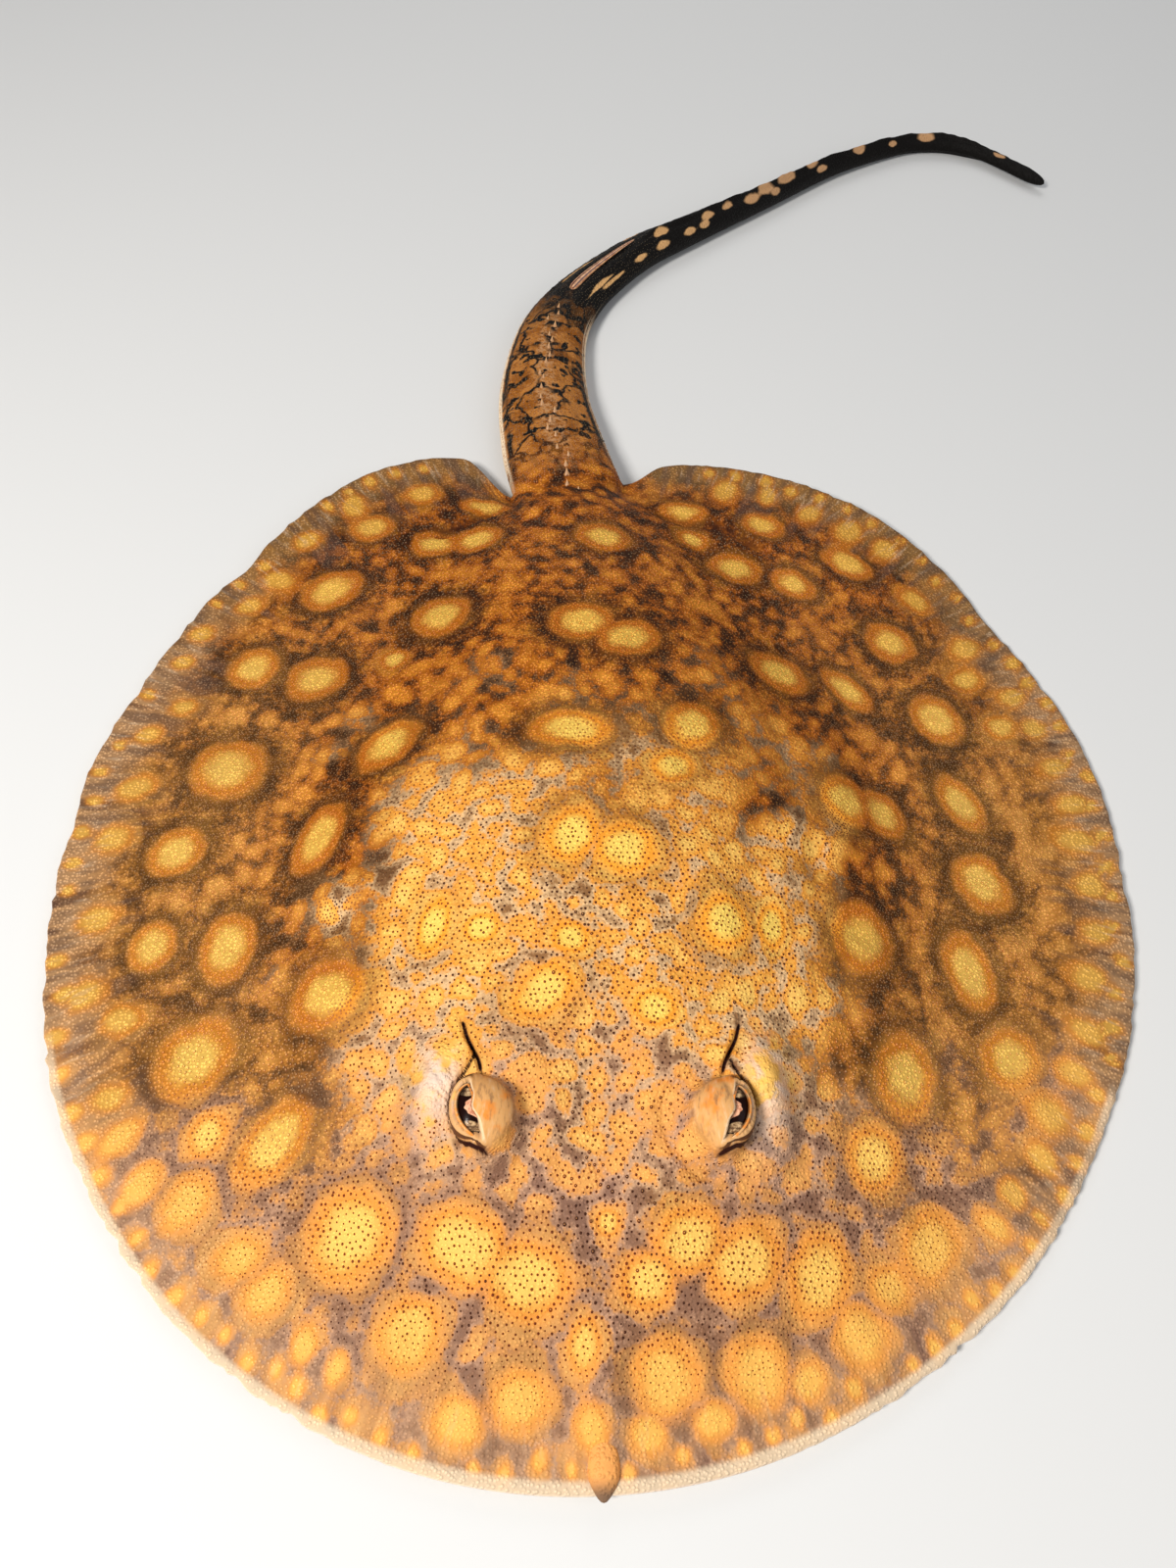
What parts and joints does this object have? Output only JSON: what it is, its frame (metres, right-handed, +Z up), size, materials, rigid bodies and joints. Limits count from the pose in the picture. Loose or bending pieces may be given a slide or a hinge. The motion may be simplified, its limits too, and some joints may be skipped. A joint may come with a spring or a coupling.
{
  "type": "freshwater stingray",
  "caption": "Young ocellate river stingray as a still life-size model, lying flat on its belly with its tail swung round to one side.",
  "frame": {"origin": "on the floor under the middle of the disc, on the flat of the belly", "axes": "+Z up, the snout points to -Y, the animal's left side is +X and the tail ends towards +Y and +X"},
  "size_m": [0.2799, 0.4271, 0.0305],
  "materials": {
    "skin": "wet skin with fine denticles: ochre ground, dark brown network and ringed yellow spots above, cream below",
    "tail_skin": "wet dark skin with cream spots",
    "lid": "smooth wet skin",
    "underside": "smooth pale skin",
    "eye": "wet clear eye over a mottled brown iris and black pupil",
    "sting": "hard toothed spine with a thin skin"
  },
  "bodies": {
    "root": {"head": "skin", "snout": "skin", "snout_tip": "lid", "trunk": "skin", "pectoral_fin_left": "skin", "pectoral_fin_right": "skin", "pelvic_fin_left": "underside", "pelvic_fin_right": "underside", "eye_left": "eye", "eye_right": "eye", "eyelid_left": "lid", "eyelid_right": "lid", "spiracle_flap_left": "lid", "spiracle_flap_right": "lid", "nasal_curtain": "underside", "lower_jaw": "underside", "tail_base": "skin", "tail_middle": "tail_skin", "tail_end": "tail_skin", "tail_fold_upper": "tail_skin", "tail_fold_lower": "tail_skin", "tail_sting": "sting"}
  },
  "joints": []
}
